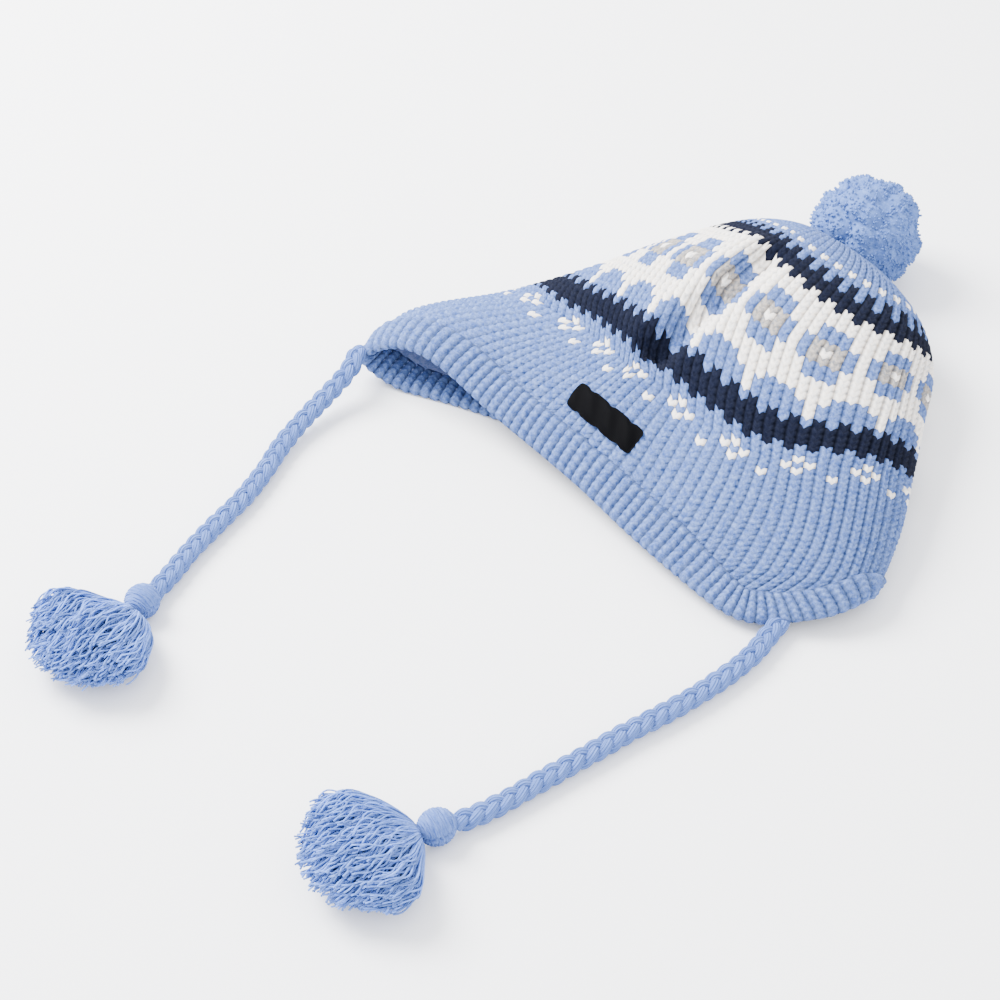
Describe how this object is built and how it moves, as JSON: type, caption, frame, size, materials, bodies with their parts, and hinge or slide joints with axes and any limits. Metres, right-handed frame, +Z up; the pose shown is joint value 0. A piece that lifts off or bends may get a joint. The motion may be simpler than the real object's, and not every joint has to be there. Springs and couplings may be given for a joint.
{
  "type": "beanie",
  "caption": "Knitted earflap beanie lying flat, with a pompom, a ribbed border, a woven tab and braided ties that end in tassels.",
  "frame": {"origin": "on the ground, under the middle of the hat's box without its ties", "axes": "+Z up from the ground the hat lies on, +Y from the mouth to the closed top, +X towards the near flap"},
  "size_m": [0.2751, 0.487, 0.0606],
  "materials": {
    "blue_yarn": "mid-blue marl wool knit, with white, navy and grey pattern yarns",
    "border_yarn": "blue wool in one-and-one rib",
    "pompom_yarn": "cut blue yarn, trimmed round",
    "tie_yarn": "braided blue yarn",
    "tassel_yarn": "loose cut blue yarn",
    "black_tape": "black woven tape, plain"
  },
  "bodies": {
    "root": {"crown": "blue_yarn", "border": "border_yarn", "tab": "black_tape", "pompom": "pompom_yarn", "tie_far": "tie_yarn", "knot_far": "tie_yarn", "tassel_far": "tassel_yarn", "tie_near": "tie_yarn", "knot_near": "tie_yarn", "tassel_near": "tassel_yarn"}
  },
  "joints": []
}
